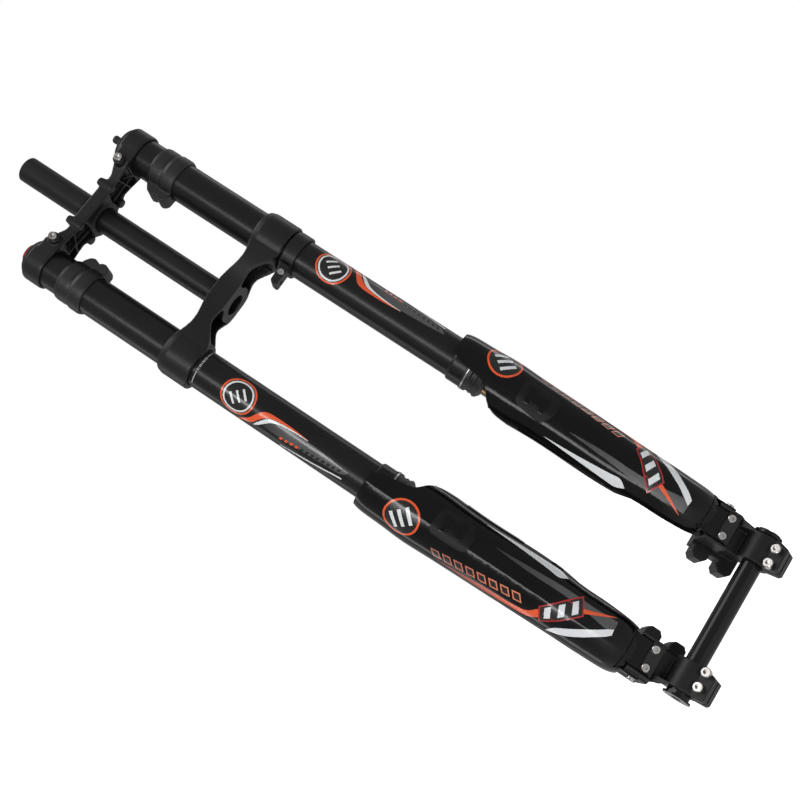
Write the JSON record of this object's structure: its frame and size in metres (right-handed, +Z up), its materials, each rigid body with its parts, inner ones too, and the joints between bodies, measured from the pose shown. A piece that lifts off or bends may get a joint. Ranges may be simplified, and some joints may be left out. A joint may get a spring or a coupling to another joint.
{
  "type": "bicycle suspension fork",
  "caption": "Upside-down double-crown bicycle suspension fork with leg guards, split axle clamps, a through axle and caliper lugs.",
  "frame": {"origin": "crown race seat: on the steerer axis at the top face of the lower crown", "axes": "+Z up the steerer, +X towards the rider's left leg, front of the fork faces -Y"},
  "size_m": [0.2176, 0.0939, 0.878],
  "materials": {
    "steerer_alloy": "satin dark anodised",
    "crown_black": "satin black coated",
    "tube_black": null,
    "cap_alloy": "satin dark anodised",
    "alloy_plain": "machined",
    "rod_chrome": "ground and polished",
    "spring_steel": "drawn wire",
    "bright_screw": "bright zinc",
    "bushing_bronze": "sintered",
    "seal_rubber": "matte moulded",
    "stanchion_gold": "bronze hard anodised",
    "dropout_black": "satin black coated",
    "guard_black": null,
    "axle_black": "gloss black anodised",
    "valve_brass": "plated",
    "cap_black": "moulded",
    "knob_red": "red anodised",
    "graphic_orange": "printed film",
    "graphic_white": "printed film",
    "graphic_grey": "printed film",
    "graphic_black": "printed film"
  },
  "bodies": {
    "crown_unit": {"steerer_tube": "steerer_alloy", "lower_crown": "crown_black", "upper_crown": "crown_black", "upper_crown_bolts": "bright_screw", "lower_crown_bolts": "bright_screw", "hose_clamp": "crown_black", "hose_clamp_screw": "bright_screw", "air_cartridge": "alloy_plain", "damper_cartridge": "alloy_plain", "air_valve": "valve_brass", "knob_post": "alloy_plain", "upper_tube_left": "tube_black", "upper_tube_right": "tube_black", "guide_bushing_left": "bushing_bronze", "guide_bushing_right": "bushing_bronze", "oil_seal_left": "seal_rubber", "oil_seal_right": "seal_rubber", "dust_wiper_left": "seal_rubber", "dust_wiper_right": "seal_rubber", "wiper_spring_left": "bright_screw", "wiper_spring_right": "bright_screw", "top_cap_left": "cap_alloy", "top_cap_right": "cap_alloy", "bumper_left": "seal_rubber", "bumper_right": "seal_rubber", "rod_guide_left": "alloy_plain", "rod_guide_right": "alloy_plain", "topout_spring_left": "spring_steel", "topout_spring_right": "spring_steel"},
    "lower_unit": {"air_piston": "alloy_plain", "damper_piston": "alloy_plain", "air_shaft": "rod_chrome", "damper_rod": "rod_chrome", "guard_screws": "bright_screw", "axle_pinch_bolts": "bright_screw", "foot_bolts": "bright_screw", "axle_nut": "axle_black", "slide_bush_left": "bushing_bronze", "slide_bush_right": "bushing_bronze", "stanchion_left": "stanchion_gold", "stanchion_right": "stanchion_gold", "dropout_left": "dropout_black", "dropout_right": "dropout_black", "guard_left": "guard_black", "guard_right": "guard_black", "guard_strap_left": "dropout_black", "guard_strap_right": "dropout_black"},
    "axle": {"thru_axle": "axle_black"},
    "valve_cap": {"valve_cap": "cap_black"},
    "rebound_knob": {"damper_knob": "knob_red"}
  },
  "joints": [
    {"name": "fork_travel", "type": "slide", "parent": "crown_unit", "child": "lower_unit", "axis": [0, 0, 1], "range_m": [0, 0.2], "stiffness_N_per_m": 6000, "springref_m": -0.015},
    {"name": "axle_slide", "type": "slide", "parent": "lower_unit", "child": "axle", "axis": [1, 0, 0], "range_m": [0, 0.17]},
    {"name": "valve_cap_turn", "type": "hinge", "parent": "crown_unit", "child": "valve_cap", "pos_m": [0.0775, -0.016, 0.184], "axis": [0, 0, 1], "continuous": true},
    {"name": "rebound_adjust", "type": "hinge", "parent": "crown_unit", "child": "rebound_knob", "pos_m": [-0.0775, -0.016, 0.18], "axis": [0, 0, 1], "range_deg": [0, 270]}
  ]
}
